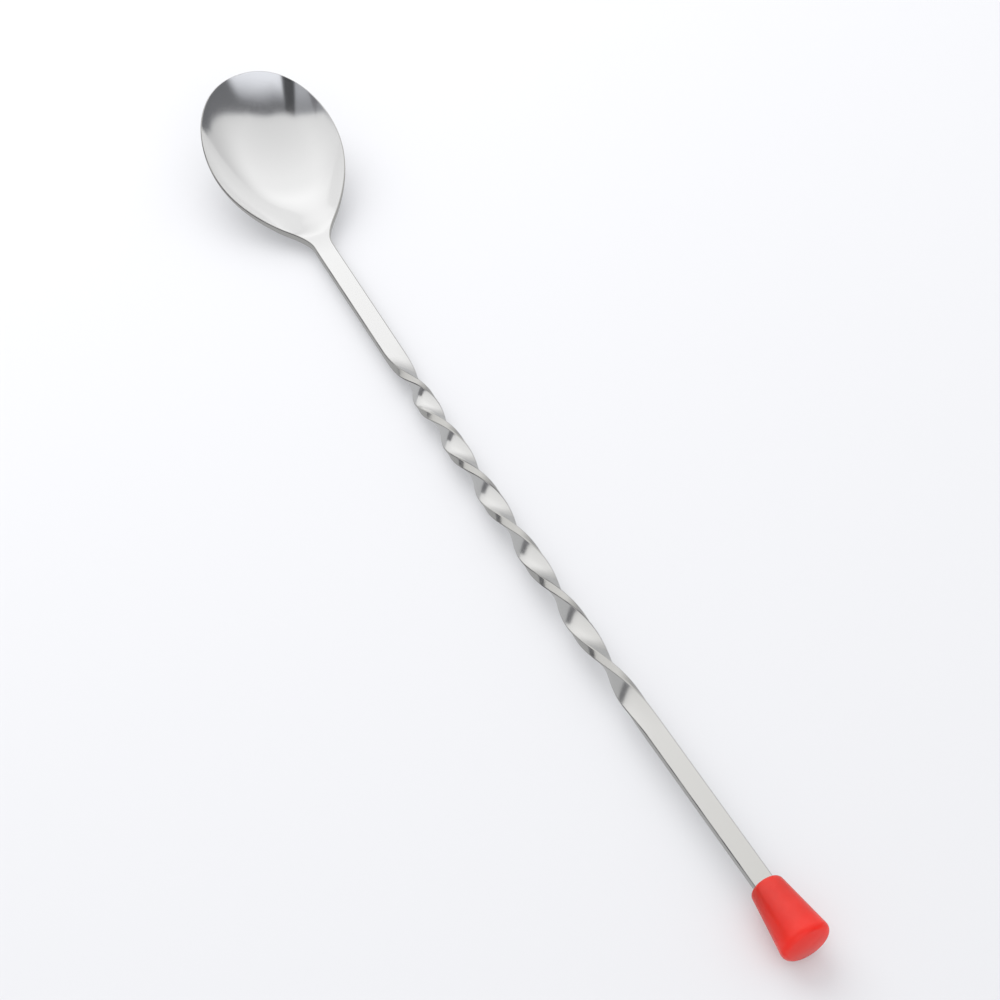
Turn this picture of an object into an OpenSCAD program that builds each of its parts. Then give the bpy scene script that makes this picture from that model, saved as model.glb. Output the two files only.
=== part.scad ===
// Twisted bar spoon, about 280 mm long, lying on a table with its bowl open upward.
// One steel strip carries the pressed bowl, the flat stem, the twisted shank and the flat tail.
// A tapered plastic knob is pushed onto the end of the tail and pulls off along it.
// X runs along the stem to the bowl tip, Z is up, and the table is at Z = 0.

/* [Strip] */
// Length from the knob end to the bowl tip
overall_len = 280; // [230:1:330]
// Width of the flat strip
strip_w = 4.85; // [3.5:0.05:6]
// Thickness of the flat strip
strip_t = 2; // [1:0.1:2.6]
// Broken edge along the strip and the bowl rim
edge = 0.25; // [0.1:0.05:0.4]
// Length of the flat stem between the twist and the neck
stem_len = 48.5; // [25:0.5:70]

/* [Twist] */
// Length of the twisted shank
twist_len = 116.5; // [80:0.5:150]
// Half turns in the twist
half_turns = 6; // [2:1:10]
// How much longer a half turn is at the tail than at the stem
pitch_growth = 2; // [1.05:0.05:3]
// Length over which the twist sets in, to each side of its ends
twist_ease = 7; // [2:0.5:10]
// Sideways bend of the shank over the twist, in degrees
shank_bend = 1.95; // [0:0.05:4]

/* [Bowl] */
// Length of the bowl from the neck to the tip
bowl_len = 46.5; // [38:0.5:60]
// Width of the bowl at its widest
bowl_w = 34.7; // [24:0.1:42]
// Where the bowl is widest, as a share of its length from the neck
widest = 0.55; // [0.45:0.005:0.65]
// Depth of the bowl below its rim
bowl_depth = 9.6; // [6:0.1:12]
// Angle of the rim above the strip
bowl_angle = 20; // [10:0.5:24]
// Thickness of the bowl wall
bowl_t = 1; // [0.7:0.1:1.6]
// Roundness of the hollow curves at the neck
neck_round = 4; // [2:0.5:6]

/* [Knob] */
// Length of the knob with its domed end
knob_len = 17.4; // [14:0.1:24]
// Diameter at the outer end
knob_big_d = 12; // [10:0.1:15]
// Diameter where the strip goes in
knob_small_d = 8; // [6.5:0.1:9]
// Height of the domed end
knob_dome = 0.4; // [0.2:0.1:1.2]
// Rounding of the outer end
knob_big_round = 1.5; // [0.5:0.1:2.5]
// Rounding of the small end
knob_small_round = 1.2; // [0.3:0.1:1.4]
// Depth of the socket that takes the tail
socket_depth = 13.5; // [9:0.5:20]
// Clearance round the tail in the socket, on each side
socket_fit = 0.05; // [0.02:0.01:0.15]
// Clearance past the end of the tail
socket_end_gap = 0.3; // [0.1:0.1:1]

/* [Hidden] */
$fn = 96;
steel = "#c9c8c3";
red = "#d9433a";
half_w = strip_w / 2;
half_t = strip_t / 2;
knob_r = knob_big_d / 2;
// the socket stops short of the domed end
socket = min(socket_depth, knob_len - knob_dome - 2);
tang_x = knob_len - socket + socket_end_gap;
// places along the strip, counted from the knob end
neck_x = overall_len - bowl_len;
twist_end_x = neck_x - stem_len;
tail_x = twist_end_x - twist_len;
// how far before the neck the plain strip ends
lead_in = 7.5;
// the worked stretches are drawn in this much, and run this far into the flats
draw_in = 0.02;
root = 1;
// shape powers of the outline and of the dish
neck_power = 2.07;
tip_power = 2.17;
dish_power = 2.2;
run_out_power = 1.5;
// height over which the rim leaves the strip
rise_round = 2.2;
// share of the bowl length over which the wall thins
thin_share = 0.45;
// steps across and along the bowl, and along one half turn
across = 14;
neck_steps = 22;
tip_steps = 16;
turn_steps = 14;

function ease(f, r) = f <= -r ? 0 : f >= r ? f : (f + r) * (f + r) / (4 * r);
function smooth(s) = let (c = min(1, max(0, s))) c * c * (3 - 2 * c);

// strip section with broken corners, drawn in by s on every side
function strip_section(s) = let (w = half_w - s, t = half_t - s) [
    [w - edge, t], [-w + edge, t], [-w, t - edge], [-w, -t + edge],
    [-w + edge, -t], [w - edge, -t], [w, -t + edge], [w, t - edge],
];

// the first half turn sets the pitch, and each one after it is longer by the same step
first_turn = 2 * twist_len / (half_turns * (1 + pitch_growth));
turn_step = first_turn * (pitch_growth - 1) / half_turns;
function turn_place(p) = first_turn * p + turn_step * p * p / 2;
// angle of the strip at x, with the twist setting in softly at both ends
function turned(x) = let (q = ease(twist_end_x - x, twist_ease), s = twist_len - ease(twist_len - q, twist_ease))
    180 * (sqrt(first_turn * first_turn + 2 * turn_step * s) - first_turn) / turn_step;

// the bent centre line at x: place along the stem, sideways place and heading
function path(x) = let (s = twist_end_x - x, m = min(twist_len, max(0, s)),
        a = shank_bend * m / twist_len, t = a * PI / 180)
    [twist_end_x - m * (1 - t * t / 6) - (s - m) * cos(a),
     -m * t / 2 * (1 - t * t / 12) - (s - m) * sin(a), a];

// bowl outline, height and wall, with x counted from the neck
neck_w = half_w - draw_in;
neck_t = half_t - draw_in;
function flare(x) = (bowl_w / 2 - neck_w) * (1 - pow((widest - x / bowl_len) / widest, neck_power));
function half_width(x) = let (v = x / bowl_len)
    v < widest ? neck_w + ease(flare(x), neck_round)
               : bowl_w / 2 * pow(max(0, 1 - pow((v - widest) / (1 - widest), 2)), 1 / tip_power);
function rim_z(x) = neck_t + ease(x * tan(bowl_angle), rise_round);
function dish(x) = let (v = x / bowl_len, s = v < widest ? (widest - v) / widest : (v - widest) / (1 - widest))
    v <= 0 ? 0 : bowl_depth * pow(max(0, 1 - s * s), v < widest ? run_out_power : 1);
function wall(x) = 2 * neck_t + (bowl_t - 2 * neck_t) * smooth(x / bowl_len / thin_share);

// one ring of the bowl: across the top, down one side, back along the underside and up the other
function bowl_ring(x) = let (
        h = half_width(x), z = rim_z(x), d = dish(x), t = wall(x),
        e = min(edge, h / 3), g = min(edge, t / 3),
        ys = [for (i = [0 : across]) (h - e) * (1 - 2 * i / across)],
        zs = [for (y = ys) z - d * (1 - pow(abs(y) / (h - e), dish_power))]
    ) concat(
        [for (i = [0 : across]) [neck_x + x, ys[i], zs[i]]],
        [[neck_x + x, -h, z - g], [neck_x + x, -h, z - t + g]],
        [for (i = [across : -1 : 0]) [neck_x + x, ys[i], zs[i] - t]],
        [[neck_x + x, h, z - t + g], [neck_x + x, h, z - g]]
    );
bowl_rings = concat(
    [bowl_ring(-lead_in - root)],
    [for (i = [0 : neck_steps]) bowl_ring(-lead_in + (widest * bowl_len + lead_in) * i / neck_steps)],
    [for (i = [1 : tip_steps]) bowl_ring(bowl_len * (widest + (1 - widest) * sin(88 * i / tip_steps)))]
);

// rings of the twist, turning as they run from the stem to the tail
function twist_ring(x) = let (c = path(x), a = turned(x)) [for (q = strip_section(draw_in))
    let (y = q[0] * cos(a) - q[1] * sin(a))
    [c[0] - y * sin(c[2]), c[1] + y * cos(c[2]), q[0] * sin(a) + q[1] * cos(a)]];
turn_count = half_turns * turn_steps;
twist_rings = concat(
    [for (i = [-root, 0, 0.4, 0.7]) twist_ring(tail_x - twist_ease + (i < 0 ? i : i * twist_ease))],
    [for (i = [0 : turn_count]) twist_ring(twist_end_x - turn_place(half_turns * (1 - i / turn_count)))],
    [for (i = [0.3, 0.6, 1]) twist_ring(twist_end_x + i * twist_ease)],
    [twist_ring(twist_end_x + twist_ease + root)]
);

// the spoon rests on the rim of its knob and the lowest point of its bowl
rim_x = path(knob_dome + knob_big_round)[0];
rest_slope = min([for (ring = bowl_rings) for (q = ring) (q[2] + knob_r) / (q[0] - rim_x)]);
rest_angle = atan(rest_slope);
tip = bowl_rings[len(bowl_rings) - 1][0];
// the outer end of the knob, found from the centre of its dome
dome_r = knob_r - knob_big_round;
dome_radius = (dome_r * dome_r + knob_dome * knob_dome) / (2 * knob_dome);
end_x = path(dome_radius)[0] * cos(rest_angle) - dome_radius;
mid_x = (tip[0] * cos(rest_angle) + tip[2] * sin(rest_angle) + end_x) / 2;
lift_z = rim_x * sin(rest_angle) + knob_r * cos(rest_angle);

module place() translate([-mid_x, 0, lift_z]) rotate([0, rest_angle, 0]) children();

// turns the tail and the knob onto the far end of the bent shank
module on_tail() translate([path(tail_x)[0], path(tail_x)[1], 0]) rotate([0, 0, shank_bend])
    translate([-tail_x, 0, 0]) children();

// a closed skin over rings of equal length
module skin(rings) {
    n = len(rings[0]);
    m = len(rings);
    side = [for (r = [0 : m - 2]) for (i = [0 : n - 1]) let (j = (i + 1) % n)
        each [[r * n + i, (r + 1) * n + i, r * n + j], [r * n + j, (r + 1) * n + i, (r + 1) * n + j]]];
    cap = [for (i = [0 : n / 2 - 2]) each [[i, i + 1, n - 1 - i], [i + 1, n - 2 - i, n - 1 - i]]];
    far_cap = [for (f = cap) [for (i = [2, 1, 0]) (m - 1) * n + f[i]]];
    polyhedron([for (r = rings) each r], concat(side, cap, far_cap));
}

// plain strip between two places along it
module flat_strip(x0, x1) translate([x0, 0, 0]) rotate([90, 0, 90]) 
    linear_extrude(x1 - x0) polygon(strip_section(0));

function arc(c, r, a0, a1, n) = [for (i = [0 : n]) let (a = a0 + (a1 - a0) * i / n) c + r * [cos(a), sin(a)]];

// half outline of the knob: radius, then distance from the outer end
taper = atan((knob_big_d - knob_small_d) / 2 / (knob_len - knob_dome));
knob_outline = concat(
    arc([0, dome_radius], dome_radius, -90, -90 + asin(dome_r / dome_radius), 6),
    arc([dome_r, knob_dome + knob_big_round], knob_big_round, -80, taper, 8),
    arc([knob_small_d / 2 - knob_small_round, knob_len - knob_small_round], knob_small_round, taper, 90, 8),
    [[0, knob_len]]
);

module spoon() color(steel) place() {
    skin(bowl_rings);
    flat_strip(twist_end_x + twist_ease, neck_x - lead_in);
    skin(twist_rings);
    on_tail() flat_strip(tang_x, tail_x - twist_ease);
}

module knob() color(red) place() on_tail() difference() {
    rotate([0, 90, 0]) rotate_extrude() polygon(knob_outline);
    translate([knob_len - socket, -half_w - socket_fit, -half_t - socket_fit])
        cube([socket + 1, strip_w + 2 * socket_fit, strip_t + 2 * socket_fit]);
}

spoon();
knob();
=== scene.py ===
import math

import bpy
import numpy as np
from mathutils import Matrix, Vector


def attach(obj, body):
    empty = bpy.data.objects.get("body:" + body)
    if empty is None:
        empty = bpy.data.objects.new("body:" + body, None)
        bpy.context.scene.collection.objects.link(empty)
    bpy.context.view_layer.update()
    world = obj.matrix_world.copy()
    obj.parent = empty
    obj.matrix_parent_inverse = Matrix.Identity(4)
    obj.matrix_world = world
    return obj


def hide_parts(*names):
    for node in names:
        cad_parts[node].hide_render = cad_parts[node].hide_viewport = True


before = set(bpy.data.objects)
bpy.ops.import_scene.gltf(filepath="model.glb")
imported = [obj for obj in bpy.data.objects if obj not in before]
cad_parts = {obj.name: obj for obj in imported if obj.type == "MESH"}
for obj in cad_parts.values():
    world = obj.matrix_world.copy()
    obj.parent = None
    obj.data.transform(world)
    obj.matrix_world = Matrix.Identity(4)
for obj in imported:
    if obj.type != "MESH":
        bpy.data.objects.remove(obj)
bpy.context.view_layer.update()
print("frame loaded:", sorted(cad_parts))

mm = 0.001
noiseLow, noiseHigh = 0.3, 0.7  # nearly all of a noise texture's values lie between these


def linear(hexText, alpha=1.0):  # sRGB hex to the linear colour that a socket takes
    channels = [int(hexText[i:i + 2], 16) / 255 for i in (1, 3, 5)]
    return (*[c / 12.92 if c <= 0.04045 else ((c + 0.055) / 1.055) ** 2.4 for c in channels], alpha)


def addNode(tree, kind, sockets=None, **settings):  # one node: its settings, its values and its links
    node = tree.nodes.new(kind)
    for name, value in settings.items():
        setattr(node, name, value)
    for name, value in (sockets or {}).items():
        if isinstance(value, bpy.types.NodeSocket):
            tree.links.new(value, node.inputs[name])
        else:
            node.inputs[name].default_value = value
    return node


def newMaterial(name):
    material = bpy.data.materials.new(name)
    material.use_nodes = True
    material.node_tree.nodes.clear()
    return material, material.node_tree


def addPiece(name, vertices, faces, materials, body, node):  # a finished mesh that stands for a CAD node
    mesh = bpy.data.meshes.new(name)
    mesh.from_pydata([tuple(v) for v in vertices], [], faces)
    mesh.update()
    piece = bpy.data.objects.new(name, mesh)
    bpy.context.scene.collection.objects.link(piece)
    for material in materials:
        mesh.materials.append(material)
    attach(piece, body)
    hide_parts(node)
    return piece


lying = {   # the knob's rim and the bowl's underside touch the table, and the shank is bent sideways over its twist
    "tilt": math.radians(0.9306369), "midX": 140.1425, "lift": 6.03106,
    "bend": math.radians(1.95), "bendStart": 185.0, "bendLength": 116.5,
}


def laid(points):  # strip frame in mm, x along it from the knob's end, z from its middle, to the part's frame in m
    p = np.asarray(points, float)
    gone = lying["bendStart"] - p[..., 0]
    within = np.clip(gone, 0, lying["bendLength"])
    t = lying["bend"] * within / lying["bendLength"]
    x = lying["bendStart"] - within * (1 - t * t / 6) - (gone - within) * np.cos(t) - p[..., 1] * np.sin(t)
    y = -within * t / 2 * (1 - t * t / 12) - (gone - within) * np.sin(t) + p[..., 1] * np.cos(t)
    c, s = math.cos(lying["tilt"]), math.sin(lying["tilt"])
    return np.stack([x * c + p[..., 2] * s - lying["midX"], y, p[..., 2] * c - x * s + lying["lift"]], -1) * mm


rolledSteel = {
    "bowlTone": "#f7f7f7", "tailTone": "#dad9d6",   # the bowl is buffed brighter than the strip
    "tailX": -125, "bowlX": 100,                    # mm, where one tone gives way to the other
    "roughLow": 0.08, "roughHigh": 0.15,
    "stripDull": 0.12,  # added to the roughness at the tail, falling to none at the bowl
    "dullTo": 0.55,     # share of the way from tailX to bowlX where it begins to fall
    "drawLine": 0.22,   # mm between draw lines, coarser than the real 0.03 so that they show
    "drawLength": 18,   # mm that a line runs
    "lineHeight": 0.003, "lineStrength": 0.35,
    "ripple": 9,        # mm across a buffing ripple
    "rippleHeight": 0.03,
}


def makeRolledSteel():
    # stainless strip, cold rolled and buffed bright: near mirror, with faint lengthways lines and a slow ripple
    look = rolledSteel
    material, tree = newMaterial("buffedStainless")
    place = addNode(tree, "ShaderNodeTexCoord")
    across, along = 1 / (look["drawLine"] * mm), 1 / (look["drawLength"] * mm)
    stretched = addNode(tree, "ShaderNodeMapping", {
        "Vector": place.outputs["Object"], "Scale": (along, across, across)})
    lines = addNode(tree, "ShaderNodeTexNoise", {"Vector": stretched.outputs["Vector"], "Scale": 1.0, "Detail": 3.0})
    ripple = addNode(tree, "ShaderNodeTexNoise", {
        "Vector": place.outputs["Object"], "Scale": 1 / (look["ripple"] * mm), "Detail": 1.0})
    roughness = addNode(tree, "ShaderNodeMapRange", {
        "Value": lines.outputs["Fac"], "From Min": noiseLow, "From Max": noiseHigh,
        "To Min": look["roughLow"], "To Max": look["roughHigh"]})
    spot = addNode(tree, "ShaderNodeSeparateXYZ", {"Vector": place.outputs["Object"]})
    buffing = addNode(tree, "ShaderNodeMapRange", {
        "Value": spot.outputs["X"], "From Min": look["tailX"] * mm, "From Max": look["bowlX"] * mm})
    dull = addNode(tree, "ShaderNodeMapRange", {
        "Value": buffing.outputs["Result"], "From Min": look["dullTo"], "From Max": 1.0,
        "To Min": look["stripDull"], "To Max": 0.0})
    dulled = addNode(tree, "ShaderNodeMath", {
        0: roughness.outputs["Result"], 1: dull.outputs["Result"]}, operation="ADD")
    waved = addNode(tree, "ShaderNodeBump", {
        "Height": ripple.outputs["Fac"], "Strength": 1.0, "Distance": look["rippleHeight"] * mm})
    lined = addNode(tree, "ShaderNodeBump", {
        "Height": lines.outputs["Fac"], "Strength": look["lineStrength"], "Distance": look["lineHeight"] * mm,
        "Normal": waved.outputs["Normal"]})
    colour = addNode(tree, "ShaderNodeMix", {
        "Factor": buffing.outputs["Result"],
        6: linear(look["tailTone"]), 7: linear(look["bowlTone"])}, data_type="RGBA")
    shader = addNode(tree, "ShaderNodeBsdfPrincipled", {
        "Base Color": colour.outputs[2], "Metallic": 1.0,
        "Roughness": dulled.outputs[0], "Normal": lined.outputs["Normal"]})
    addNode(tree, "ShaderNodeOutputMaterial", {"Surface": shader.outputs["BSDF"]})
    return material


shearedSteel = {
    "tone": "#d0cfcc",
    "rough": 0.2, "smoother": 0.05, "rougher": 0.07,   # middle roughness, and how far it swings
    "tear": 0.3,     # mm between shear marks
    "acrossShare": 0.3, "downShare": 0.15,   # their scale across the strip and down the cut, where they run long
    "tearHeight": 0.012, "tearStrength": 0.5,
}


def makeShearedSteel():
    # the cut edges of the same strip, tumbled but not buffed: duller and greyer, with marks across the thickness
    look = shearedSteel
    material, tree = newMaterial("shearedStainlessEdge")
    place = addNode(tree, "ShaderNodeTexCoord")
    fine = 1 / (look["tear"] * mm)
    stretched = addNode(tree, "ShaderNodeMapping", {
        "Vector": place.outputs["Object"], "Scale": (fine, fine * look["acrossShare"], fine * look["downShare"])})
    marks = addNode(tree, "ShaderNodeTexNoise", {"Vector": stretched.outputs["Vector"], "Scale": 1.0, "Detail": 2.0})
    roughness = addNode(tree, "ShaderNodeMapRange", {
        "Value": marks.outputs["Fac"], "From Min": noiseLow, "From Max": noiseHigh,
        "To Min": look["rough"] - look["smoother"], "To Max": look["rough"] + look["rougher"]})
    torn = addNode(tree, "ShaderNodeBump", {
        "Height": marks.outputs["Fac"], "Strength": look["tearStrength"], "Distance": look["tearHeight"] * mm})
    shader = addNode(tree, "ShaderNodeBsdfPrincipled", {
        "Base Color": linear(look["tone"]), "Metallic": 1.0,
        "Roughness": roughness.outputs["Result"], "Normal": torn.outputs["Normal"]})
    addNode(tree, "ShaderNodeOutputMaterial", {"Surface": shader.outputs["BSDF"]})
    return material


burrAndShadeSteel = {
    # the dark tone is partly a real burr and partly painted shade along the strip's shadow-side edge
    "tone": "#656368", "wornTone": "#b2b1af",
    "rough": 0.4, "roughSwing": 0.1,
    "grit": 0.25,   # mm between nicks
    "nickHeight": 0.02, "nickStrength": 0.4,
    "wear": 5.0,    # mm along which the burr comes and goes
    "wornFrom": 0.35, "wornTo": 0.65,   # noise values between which it does
}


def makeBurrAndShadeSteel():
    # the corners where the cut broke through: a dull, nicked line that comes and goes along one edge of the strip, its
    # shadow side; the dark tone is partly a real burr and partly painted shade
    look = burrAndShadeSteel
    material, tree = newMaterial("burrAndPaintedShadeCorner")
    place = addNode(tree, "ShaderNodeTexCoord")
    nicks = addNode(tree, "ShaderNodeTexNoise", {
        "Vector": place.outputs["Object"], "Scale": 1 / (look["grit"] * mm), "Detail": 2.0})
    roughness = addNode(tree, "ShaderNodeMapRange", {
        "Value": nicks.outputs["Fac"], "From Min": noiseLow, "From Max": noiseHigh,
        "To Min": look["rough"] - look["roughSwing"], "To Max": look["rough"] + look["roughSwing"]})
    nicked = addNode(tree, "ShaderNodeBump", {
        "Height": nicks.outputs["Fac"], "Strength": look["nickStrength"], "Distance": look["nickHeight"] * mm})
    wear = addNode(tree, "ShaderNodeTexNoise", {
        "Vector": place.outputs["Object"], "Scale": 1 / (look["wear"] * mm), "Detail": 3.0})
    worn = addNode(tree, "ShaderNodeMapRange", {
        "Value": wear.outputs["Fac"], "From Min": look["wornFrom"], "From Max": look["wornTo"]})
    colour = addNode(tree, "ShaderNodeMix", {
        "Factor": worn.outputs["Result"], 6: linear(look["tone"]), 7: linear(look["wornTone"])}, data_type="RGBA")
    shader = addNode(tree, "ShaderNodeBsdfPrincipled", {
        "Base Color": colour.outputs[2], "Metallic": 1.0,
        "Roughness": roughness.outputs["Result"], "Normal": nicked.outputs["Normal"]})
    addNode(tree, "ShaderNodeOutputMaterial", {"Surface": shader.outputs["BSDF"]})
    return material


redPlastic = {
    "tone": "#e93a2f", "deepTone": "#dc2b22",
    "rough": 0.17, "smoother": 0.03, "rougher": 0.05,   # middle roughness, and how far it swings
    "index": 1.49, "gloss": 0.3,        # refractive index, and the level of its shine, where 0.5 is plain
    "clear": 0.14,                      # share of light that goes straight through, so that the tang shows
    "glow": 1.0,                        # share of the rest that scatters under the skin
    "glowDepth": 16.0,                  # mm
    "glowReach": (1.0, 0.1, 0.08),      # shares of that depth for red, green and blue
    "streak": 4.0, "streakMost": 0.5,   # mm across a colour streak, and the most deep tone in it
    "polish": 0.8,                      # mm across the mould's polishing marks
}


def makeRedPlastic():
    # polystyrene from a polished mould: glossy, and clear enough for the tang's edge to draw a soft dark line
    look = redPlastic
    material, tree = newMaterial("mouldedRedPolystyrene")
    place = addNode(tree, "ShaderNodeTexCoord")
    flow = addNode(tree, "ShaderNodeTexNoise", {
        "Vector": place.outputs["Object"], "Scale": 1 / (look["streak"] * mm), "Detail": 2.0})
    uneven = addNode(tree, "ShaderNodeMapRange", {
        "Value": flow.outputs["Fac"], "From Min": noiseLow, "From Max": noiseHigh,
        "To Min": 0.0, "To Max": look["streakMost"]})
    colour = addNode(tree, "ShaderNodeMix", {
        "Factor": uneven.outputs["Result"], 6: linear(look["tone"]), 7: linear(look["deepTone"])}, data_type="RGBA")
    marks = addNode(tree, "ShaderNodeTexNoise", {
        "Vector": place.outputs["Object"], "Scale": 1 / (look["polish"] * mm), "Detail": 2.0})
    roughness = addNode(tree, "ShaderNodeMapRange", {
        "Value": marks.outputs["Fac"], "From Min": noiseLow, "From Max": noiseHigh,
        "To Min": look["rough"] - look["smoother"], "To Max": look["rough"] + look["rougher"]})
    shader = addNode(tree, "ShaderNodeBsdfPrincipled", {
        "Base Color": colour.outputs[2], "Roughness": roughness.outputs["Result"],
        "IOR": look["index"], "Specular IOR Level": look["gloss"],
        "Transmission Weight": look["clear"], "Subsurface Weight": look["glow"],
        "Subsurface Radius": look["glowReach"], "Subsurface Scale": look["glowDepth"] * mm})
    addNode(tree, "ShaderNodeOutputMaterial", {"Surface": shader.outputs["BSDF"]})
    return material


buffed, sheared, burrAndShade, red = makeRolledSteel(), makeShearedSteel(), makeBurrAndShadeSteel(), makeRedPlastic()
print("materials made:", buffed.name, sheared.name, burrAndShade.name, red.name)

spoon = {   # one strip, with its tang, tail, twist, stem and bowl, in mm
    "halfWidth": 2.425, "halfThick": 1.0, "edgeRound": 0.27,
    "tangStart": 4.2, "tailEnd": 68.5, "twistEnd": 185.0, "neck": 233.5,   # distances from the knob's end
    "tangRound": 0.25, "tangFlat": 0.6,   # how far from its end the tang is rounded, and where it is plain
    "halfTurns": 6, "pitchGrowth": 2.0, "twistEase": 7.0, "twistStep": 0.4,
    "twistRun": 1.0,   # plain strip before and after the twist in the same run of rings
    "bowlLength": 46.46, "bowlHalf": 17.34, "widest": 0.55, "depth": 9.57, "rise": math.radians(19.94),
    "wall": 1.0, "thinShare": 0.45, "neckRound": 4.0, "riseRound": 2.2, "leadIn": 7.5,
    "neckPower": 2.07, "tipPower": 2.17, "runOutPower": 1.5,
    "squareShare": 0.85,   # the hollow across the bowl is this share of a square curve, and the rest a fourth power
    "tipTurn": math.radians(89.4), "tipRound": 0.8,   # the last ring stops short of the tip, with a smaller rounding
    "across": 45, "neckSteps": 76, "tipSteps": 52, "roundSteps": 4,
    "burrAndShadeRows": (1, 2),    # the middle rows of a rounding, where the burr and its painted shade lie
}


def eased(f, r):  # 0 before -r, f after r, and a smooth bend between
    return 0.0 if f <= -r else f if f >= r else (f + r) ** 2 / (4 * r)


def turned(x):  # the strip's angle at a distance from the knob's end: the twist is tight by the stem and opens out
    s = spoon
    length = s["twistEnd"] - s["tailEnd"]
    first = 2 * length / (s["halfTurns"] * (1 + s["pitchGrowth"]))
    growth = first * (s["pitchGrowth"] - 1) / s["halfTurns"]
    q = eased(s["twistEnd"] - x, s["twistEase"])
    q = length - eased(length - q, s["twistEase"])
    return math.pi * (math.sqrt(first * first + 2 * growth * q) - first) / growth


def bowlAt(x):  # half width, rim height, dish depth and wall at a distance from the neck
    s = spoon
    v = x / s["bowlLength"]
    near, far = (s["widest"] - v) / s["widest"], (v - s["widest"]) / (1 - s["widest"])
    if v < s["widest"]:
        flare = (s["bowlHalf"] - s["halfWidth"]) * (1 - near ** s["neckPower"])
        half = s["halfWidth"] + eased(flare, s["neckRound"])
        dish = s["depth"] * (1 - near * near) ** s["runOutPower"] if v > 0 else 0.0
    else:
        half = s["bowlHalf"] * max(0.0, 1 - far * far) ** (1 / s["tipPower"])
        dish = s["depth"] * max(0.0, 1 - far * far)
    rim = s["halfThick"] + eased(x * math.tan(s["rise"]), s["riseRound"])
    c = min(1.0, max(0.0, v / s["thinShare"]))
    wall = 2 * s["halfThick"] + (s["wall"] - 2 * s["halfThick"]) * c * c * (3 - 2 * c)
    return half, rim, dish, wall


def stripRing(x, half, rim, dish, wall, normal, round_, angle=0.0):  # one section of the strip or the bowl
    nx, ny = normal  # the corners are rounded square to the outline
    inner = half - ny * round_
    top = [math.cos(math.pi * i / (spoon["across"] - 1)) for i in range(spoon["across"])]  # closer near the edges
    square = spoon["squareShare"]
    hollow = [1 - (square * r * r + (1 - square) * r ** 4) for r in top]
    back = x - nx * round_
    points = [(back, r * inner, rim - dish * h) for r, h in zip(top, hollow)]
    turns = [math.pi / 2 * k / spoon["roundSteps"] for k in range(1, spoon["roundSteps"] + 1)]
    corner = [(round_ * (1 - math.sin(t)), round_ * (1 - math.cos(t))) for t in turns]
    points += [(x - nx * o, -(half - ny * o), rim - d) for o, d in corner]
    points += [(x - nx * o, -(half - ny * o), rim - wall + d) for o, d in reversed(corner)]
    points += [(back, -r * inner, rim - wall - dish * h) for r, h in zip(top, hollow)]
    points += [(x - nx * o, half - ny * o, rim - wall + d) for o, d in corner]
    points += [(x - nx * o, half - ny * o, rim - d) for o, d in reversed(corner)]
    p = np.array(points)
    c, s = math.cos(angle), math.sin(angle)
    return np.stack([p[:, 0], p[:, 1] * c - p[:, 2] * s, p[:, 1] * s + p[:, 2] * c], -1)


def makeSpoon():
    s = spoon
    flat = (0.0, 2 * s["halfThick"])
    rings = []
    tang = s["tangStart"]
    for x, drawIn in ((tang, s["tangRound"]), (tang + s["tangRound"], 0.0), (tang + s["tangFlat"], 0.0)):
        wide, thick = s["halfWidth"] - drawIn, s["halfThick"] - drawIn
        rings.append(stripRing(x, wide, thick, 0.0, 2 * thick, (0, 1), s["edgeRound"]))
    first = s["tailEnd"] - s["twistEase"] - s["twistRun"]
    last = s["twistEnd"] + s["twistEase"] + s["twistRun"]
    count = int(round((last - first) / s["twistStep"]))
    for i in range(count + 1):
        x = first + (last - first) * i / count
        rings.append(stripRing(x, s["halfWidth"], s["halfThick"], *flat, (0, 1), s["edgeRound"], turned(x)))
    stations = [-s["leadIn"] + (s["widest"] * s["bowlLength"] + s["leadIn"]) * i / s["neckSteps"]
                for i in range(s["neckSteps"] + 1)]
    stations += [s["bowlLength"] * (s["widest"] + (1 - s["widest"]) * math.sin(s["tipTurn"] * i / s["tipSteps"]))
                 for i in range(1, s["tipSteps"] + 1)]
    sizes = [bowlAt(x) for x in stations]
    for i, (x, size) in enumerate(zip(stations, sizes)):
        a, b = max(0, i - 1), min(len(stations) - 1, i + 1)
        run, spread = stations[b] - stations[a], sizes[b][0] - sizes[a][0]
        length = math.hypot(run, spread)
        normal = (-spread / length, run / length)
        rings.append(stripRing(s["neck"] + x, *size, normal, min(s["edgeRound"], size[0] * s["tipRound"])))
    around = len(rings[0])
    shadedBurrs = [start + row for start in (0, s["roundSteps"] + 1) for row in s["burrAndShadeRows"]]
    faces, kinds = [], []   # kinds: 0 buffed, 1 sheared, 2 burr with painted shade
    for r in range(len(rings) - 1):
        for k in range(around):
            n = (k + 1) % around
            faces.append((r * around + k, r * around + n, (r + 1) * around + n, (r + 1) * around + k))
            place = k % (around // 2)   # the underside's half of a ring repeats the top's
            corner = place - s["across"] + 1   # rows of the first rounding, the cut side and the second rounding
            onShadedEdge = k >= around // 2 and corner in shadedBurrs   # the shadow side's edge only, where the shade is painted
            kinds.append(0 if corner < 0 else 2 if onShadedEdge else 1)
    faces.append(tuple(range(around - 1, -1, -1)))
    faces.append(tuple(range((len(rings) - 1) * around, len(rings) * around)))
    kinds += [1, 1]
    piece = addPiece("twistedSpoon", laid(np.concatenate(rings)), faces,
                     [buffed, sheared, burrAndShade], "spoon", "spoon")
    piece.data.polygons.foreach_set("material_index", kinds)
    piece.data.shade_smooth()
    return piece


spoonPiece = makeSpoon()
print("spoon made:", len(spoonPiece.data.vertices), "points")

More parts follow.
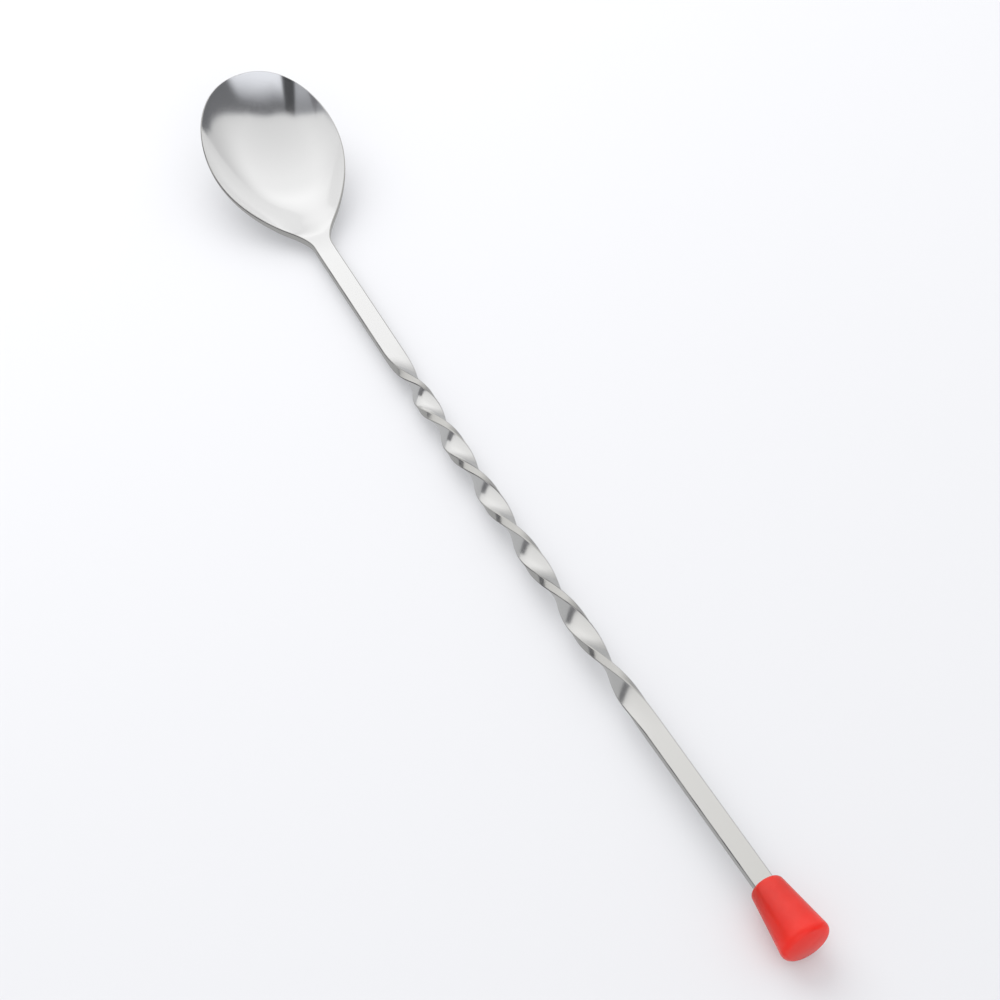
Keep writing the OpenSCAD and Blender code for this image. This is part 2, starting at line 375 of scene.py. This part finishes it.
knob = {   # a tapered moulding with a domed end, and a socket for the tang, in mm
    "length": 17.4, "bigHalf": 5.99, "smallHalf": 4.0, "dome": 0.4, "bigRound": 1.5, "smallRound": 1.2,
    "socket": 13.5, "fit": 0.05,
    "inset": 0.004,   # keeps the dome inside the CAD box
    "rimStart": -80, "around": 128, "domeSteps": 10, "bigSteps": 14, "sideSteps": 12, "smallSteps": 10,
    "cutPast": 1.0, "sharp": math.radians(40),   # how far the socket's cutter sticks out, and the angle of a hard edge
}


def arc(centre, radius, first, last, steps):
    turns = [math.radians(first + (last - first) * i / steps) for i in range(steps + 1)]
    return [(centre[0] + radius * math.cos(t), centre[1] + radius * math.sin(t)) for t in turns]


def makeKnob():
    k = knob
    flatHalf = k["bigHalf"] - k["bigRound"]
    domeRadius = (flatHalf ** 2 + k["dome"] ** 2) / (2 * k["dome"])
    taper = math.degrees(math.atan((k["bigHalf"] - k["smallHalf"]) / (k["length"] - k["dome"])))
    domeEnd = -90 + math.degrees(math.asin(flatHalf / domeRadius))
    profile = arc((0, domeRadius), domeRadius, -90, domeEnd, k["domeSteps"])[1:]
    profile += arc((flatHalf, k["dome"] + k["bigRound"]), k["bigRound"], k["rimStart"], taper, k["bigSteps"])
    low, high = profile[-1], (k["smallHalf"] - k["smallRound"], k["length"] - k["smallRound"])
    start = arc(high, k["smallRound"], taper, 90, k["smallSteps"])
    side = np.array(start[0]) - np.array(low)
    profile += [tuple(np.array(low) + side * i / k["sideSteps"]) for i in range(1, k["sideSteps"])]
    profile += start
    points, faces = [(0.0, 0.0, 0.0)], []
    for radius, x in profile:
        for i in range(k["around"]):
            t = 2 * math.pi * i / k["around"]
            points.append((x, radius * math.cos(t), radius * math.sin(t)))
    points.append((k["length"], 0.0, 0.0))
    for i in range(k["around"]):
        n = (i + 1) % k["around"]
        faces.append((0, 1 + n, 1 + i))
        for r in range(len(profile) - 1):
            a, b = 1 + r * k["around"], 1 + (r + 1) * k["around"]
            faces.append((a + i, a + n, b + n, b + i))
        a = 1 + (len(profile) - 1) * k["around"]
        faces.append((a + i, a + n, len(points) - 1))
    piece = addPiece("redKnob", laid(np.array(points) + (k["inset"], 0, 0)), faces,
                     [red], "knob", "knob")
    # the socket is cut as the tang's own section with a press fit's clearance
    w, t = spoon["halfWidth"] + k["fit"], spoon["halfThick"] + k["fit"]
    ends = (k["length"] - k["socket"], k["length"] + k["cutPast"])
    corners = [(x, y, z) for x in ends for y in (-w, w) for z in (-t, t)]
    cutterMesh = bpy.data.meshes.new("socketCutter")
    cutterMesh.from_pydata([tuple(v) for v in laid(corners)], [], [
        (0, 1, 3, 2), (4, 6, 7, 5), (0, 4, 5, 1), (2, 3, 7, 6), (0, 2, 6, 4), (1, 5, 7, 3)])
    cutter = bpy.data.objects.new("socketCutter", cutterMesh)
    bpy.context.scene.collection.objects.link(cutter)
    cut = piece.modifiers.new("socket", "BOOLEAN")
    cut.operation, cut.solver, cut.object = "DIFFERENCE", "EXACT", cutter
    shaped = bpy.data.meshes.new_from_object(piece.evaluated_get(bpy.context.evaluated_depsgraph_get()))
    piece.modifiers.remove(cut)
    piece.data = shaped
    bpy.data.objects.remove(cutter)
    shaped.shade_smooth()
    shaped.set_sharp_from_angle(angle=k["sharp"])
    return piece


knobPiece = makeKnob()
print("knob made:", len(knobPiece.data.vertices), "points")

shot = {   # fitted to the outline in the photo, degrees and m
    "azimuth": -117.317, "elevation": 52.077, "distance": 0.75011, "target": (0.000216, -0.003352, 0.0),
    "lens": 114.178, "sensor": 36.0, "clip": (0.01, 50.0),
}


def makeCamera():
    a, e = math.radians(shot["azimuth"]), math.radians(shot["elevation"])
    back = Vector((math.sin(a) * math.cos(e), -math.cos(a) * math.cos(e), math.sin(e)))
    data = bpy.data.cameras.new("photoView")
    data.lens, data.sensor_width, data.sensor_fit = shot["lens"], shot["sensor"], "HORIZONTAL"
    data.clip_start, data.clip_end = shot["clip"]
    camera = bpy.data.objects.new("photoView", data)
    bpy.context.scene.collection.objects.link(camera)
    camera.rotation_mode = "QUATERNION"
    camera.location = Vector(shot["target"]) + back * shot["distance"]
    camera.rotation_quaternion = (-back).to_track_quat("-Z", "Y")
    bpy.context.scene.camera = camera
    return back


table = {   # white acrylic, lit a little from below
    "tone": "#c2c2c4", "size": 8.0, "rough": 0.75, "gloss": 0.2, "backLight": 0.202,
    "inSteel": 0.56,   # its brightness where the steel mirrors it
}


def makeTable():
    half = table["size"] / 2
    mesh = bpy.data.meshes.new("paleTable")
    mesh.from_pydata([(-half, -half, 0), (half, -half, 0), (half, half, 0), (-half, half, 0)], [], [(0, 1, 2, 3)])
    floor = bpy.data.objects.new("paleTable", mesh)
    bpy.context.scene.collection.objects.link(floor)
    material, tree = newMaterial("paleAcrylic")
    shader = addNode(tree, "ShaderNodeBsdfPrincipled", {
        "Base Color": linear(table["tone"]), "Roughness": table["rough"], "Specular IOR Level": table["gloss"],
        "Emission Color": linear(room["plain"]), "Emission Strength": table["backLight"]})
    # in the steel the table shows at one even, dimmer tone
    dim = addNode(tree, "ShaderNodeEmission", {"Color": linear(room["plain"]), "Strength": table["inSteel"]})
    rays = addNode(tree, "ShaderNodeLightPath")
    seen = addNode(tree, "ShaderNodeMixShader", {
        "Fac": rays.outputs["Is Glossy Ray"], 1: shader.outputs["BSDF"], 2: dim.outputs["Emission"]})
    addNode(tree, "ShaderNodeOutputMaterial", {"Surface": seen.outputs["Shader"]})
    mesh.materials.append(material)


room = {
    "brightest": 1.07,
    # shares of the brightest tone, from beyond the spoon (0) to the camera's side (1)
    "sweep": (
        (0.0, 0.99), (0.07, 0.97), (0.15, 0.94), (0.21, 0.89),
        (0.29, 0.84), (0.5, 0.81), (0.82, 0.63), (1.0, 0.56)),
    # the share of it that is left near the horizon, on the left and on the right, and the heights where it fades out
    "lowLeft": 0.84, "lowRight": 0.64, "lowSide": (-0.3, 0.4), "lowHeight": (6.0, 46.0),
    "roomTurn": 15.0,   # degrees from the camera's side to the middle of the dark end
    # the dark end's top edge: degrees round from its middle, and degrees of height
    "darkEdge": (
        (-180, 0), (-125, 0), (-84, 18), (-65, 34), (-45, 45), (-7, 51),
        (15, 50), (37, 43.5), (67, 30), (97, 8.5), (111, 0), (180, 0)),
    "edgeSoft": (-1.5, 2.0),   # degrees below that edge over which the dark sets in
    "paneBelow": (4, 17),      # degrees below it over which the pane sets in
    "paneEnd": (44, 34), "barStart": (-26, -30), "barEnd": (-47, -44),   # degrees round over which each sets in
    "darkTone": 0.17, "sideDark": 0.31, "paneTone": 0.96, "sideTone": 0.48, "barTone": 0.075,
    "fill": 0.93,    # brightness of the even light that falls on the table and the plastic
    "behind": 1.0,   # brightness of the room where the camera sees past the table
    "bright": "#ffffff", "dark": "#f0f2f8", "plain": "#f5f6f8",
}


def makeRoom(back):
    world = bpy.data.worlds.new("diffusedRoom")
    world.use_nodes = True
    bpy.context.scene.world = world
    tree = world.node_tree
    tree.nodes.clear()
    place = addNode(tree, "ShaderNodeTexCoord")
    middle = math.atan2(back.y, back.x) + math.radians(room["roomTurn"])
    turnedRoom = addNode(tree, "ShaderNodeVectorRotate", {
        "Vector": place.outputs["Generated"], "Angle": -middle}, rotation_type="Z_AXIS")
    axes = addNode(tree, "ShaderNodeSeparateXYZ", {"Vector": turnedRoom.outputs["Vector"]})
    azimuth = addNode(tree, "ShaderNodeMath", {0: axes.outputs["Y"], 1: axes.outputs["X"]}, operation="ARCTAN2")
    height = addNode(tree, "ShaderNodeMath", {0: axes.outputs["Z"]}, operation="ARCSINE")
    # the dark end: its top edge, a pale pane below it, a paler side and a bar between them
    round_ = addNode(tree, "ShaderNodeMapRange", {
        "Value": azimuth.outputs[0], "From Min": -math.pi, "From Max": math.pi})
    edge = addNode(tree, "ShaderNodeValToRGB", {"Fac": round_.outputs[0]})
    edge.color_ramp.interpolation = "B_SPLINE"
    steps = edge.color_ramp.elements
    for turn, _ in room["darkEdge"][1:-1]:
        steps.new((turn + 180) / 360)
    for step, (turn, high) in zip(steps, room["darkEdge"]):
        step.position, step.color = (turn + 180) / 360, (math.radians(high),) * 3 + (1.0,)
    under = addNode(tree, "ShaderNodeMath", {0: edge.outputs["Color"], 1: height.outputs[0]}, operation="SUBTRACT")
    starts = {}   # how far each part has set in, from 0 to 1
    for name, value in (("edgeSoft", under), ("paneBelow", under),
                        ("paneEnd", azimuth), ("barStart", azimuth), ("barEnd", azimuth)):
        first, last = (math.radians(angle) for angle in room[name])
        starts[name] = addNode(tree, "ShaderNodeMapRange", {
            "Value": value.outputs[0], "From Min": first, "From Max": last}, interpolation_type="SMOOTHSTEP")
    inDark, pastBar = starts["edgeSoft"], starts["barStart"]
    pane = addNode(tree, "ShaderNodeMath", {
        0: starts["paneEnd"].outputs[0], 1: starts["paneBelow"].outputs[0]}, operation="MULTIPLY")
    paneTone = addNode(tree, "ShaderNodeMix", {
        "Factor": pastBar.outputs[0], "A": room["paneTone"], "B": room["sideTone"]})
    bar = addNode(tree, "ShaderNodeMath", {
        0: starts["barEnd"].outputs[0], 1: pastBar.outputs[0]}, operation="MULTIPLY")
    darkTone = addNode(tree, "ShaderNodeMix", {
        "Factor": pastBar.outputs[0], "A": room["darkTone"], "B": room["sideDark"]})
    withPane = addNode(tree, "ShaderNodeMix", {
        "Factor": pane.outputs[0], "A": darkTone.outputs[0], "B": paneTone.outputs[0]})
    withBar = addNode(tree, "ShaderNodeMix", {
        "Factor": bar.outputs[0], "A": withPane.outputs[0], "B": room["barTone"]})
    # the bright rest
    nearness = addNode(tree, "ShaderNodeMapRange", {"Value": axes.outputs["X"], "From Min": -1.0, "From Max": 1.0})
    sweep = addNode(tree, "ShaderNodeValToRGB", {"Fac": nearness.outputs[0]})
    sweep.color_ramp.interpolation = "B_SPLINE"
    stops = sweep.color_ramp.elements
    for where, _ in room["sweep"][1:-1]:
        stops.new(where)
    for stop, (where, share) in zip(stops, room["sweep"]):
        stop.position, stop.color = where, (share, share, share, 1.0)
    left, right = room["lowSide"]
    lowTone = addNode(tree, "ShaderNodeMapRange", {
        "Value": axes.outputs["Y"], "From Min": left, "From Max": right,
        "To Min": room["lowLeft"] * room["brightest"], "To Max": room["lowRight"] * room["brightest"]},
        interpolation_type="SMOOTHSTEP")
    lowest, highest = (math.radians(angle) for angle in room["lowHeight"])
    lowShare = addNode(tree, "ShaderNodeMapRange", {
        "Value": height.outputs[0], "From Min": lowest, "From Max": highest,
        "To Min": lowTone.outputs[0], "To Max": room["brightest"]}, interpolation_type="SMOOTHSTEP")
    bright = addNode(tree, "ShaderNodeMath", {
        0: sweep.outputs["Color"], 1: lowShare.outputs[0]}, operation="MULTIPLY")
    tone = addNode(tree, "ShaderNodeMix", {
        "Factor": inDark.outputs[0], "A": bright.outputs[0], "B": withBar.outputs[0]})
    tint = addNode(tree, "ShaderNodeMix", {
        "Factor": inDark.outputs[0], 6: linear(room["bright"]), 7: linear(room["dark"])}, data_type="RGBA")
    lit = addNode(tree, "ShaderNodeBackground", {"Color": tint.outputs[2], "Strength": tone.outputs[0]})
    plain = addNode(tree, "ShaderNodeBackground", {"Color": linear(room["plain"]), "Strength": room["behind"]})
    even = addNode(tree, "ShaderNodeBackground", {"Color": linear(room["plain"]), "Strength": room["fill"]})
    rays = addNode(tree, "ShaderNodeLightPath")
    filled = addNode(tree, "ShaderNodeMixShader", {
        "Fac": rays.outputs["Is Diffuse Ray"], 1: lit.outputs[0], 2: even.outputs[0]})
    shown = addNode(tree, "ShaderNodeMixShader", {
        "Fac": rays.outputs["Is Camera Ray"], 1: filled.outputs[0], 2: plain.outputs[0]})
    addNode(tree, "ShaderNodeOutputWorld", {"Surface": shown.outputs[0]})


card = {   # m and degrees
    "middle": (0.030, 0.170), "facing": 62.6, "width": 0.2, "height": 0.08, "tone": "#707072", "rough": 0.9,
}


def makeCard():  # a grey card left of the picture, seen only by the steel: it draws the dark ends of the twist's faces
    x, y = card["middle"]
    turn = math.radians(card["facing"])
    dx, dy = -math.sin(turn) * card["width"] / 2, math.cos(turn) * card["width"] / 2
    mesh = bpy.data.meshes.new("darkCard")
    feet = ((x - dx, y - dy), (x + dx, y + dy))
    mesh.from_pydata([(*foot, 0) for foot in feet] + [(*foot, card["height"]) for foot in reversed(feet)],
                     [], [(0, 1, 2, 3)])
    board = bpy.data.objects.new("darkCard", mesh)
    bpy.context.scene.collection.objects.link(board)
    material, tree = newMaterial("matteGreyCard")
    shader = addNode(tree, "ShaderNodeBsdfPrincipled", {
        "Base Color": linear(card["tone"]), "Roughness": card["rough"]})
    addNode(tree, "ShaderNodeOutputMaterial", {"Surface": shader.outputs["BSDF"]})
    mesh.materials.append(material)
    board.visible_camera = board.visible_shadow = board.visible_diffuse = False


lamps = {   # none shows in the steel: they throw the soft shadow, light the knob's end and the table beyond the bowl
    "side": {"kind": "SUN", "place": (0.35, -0.75, 0.9), "angle": 45.0, "power": 0.28},
    "front": {"kind": "SUN", "place": (-0.9, 0.0, 0.3), "angle": 60.0, "power": 0.65},
    "far": {"kind": "AREA", "place": (0.6, 0.05, 0.5), "width": 0.9, "power": 5.2},
}


def makeLamps():
    for name, look in lamps.items():
        data = bpy.data.lights.new(name + "Lamp", look["kind"])
        data.energy = look["power"]
        if look["kind"] == "SUN":
            data.angle = math.radians(look["angle"])
        else:
            data.shape, data.size = "DISK", look["width"]
        lamp = bpy.data.objects.new(name + "Lamp", data)
        bpy.context.scene.collection.objects.link(lamp)
        lamp.location = look["place"]
        lamp.rotation_mode = "QUATERNION"
        lamp.rotation_quaternion = (-Vector(look["place"])).to_track_quat("-Z", "Y")
        lamp.visible_glossy = False


bpy.context.scene.view_settings.view_transform = "Standard"
back = makeCamera()
makeTable()
makeRoom(back)
makeCard()
makeLamps()
print("stage made")
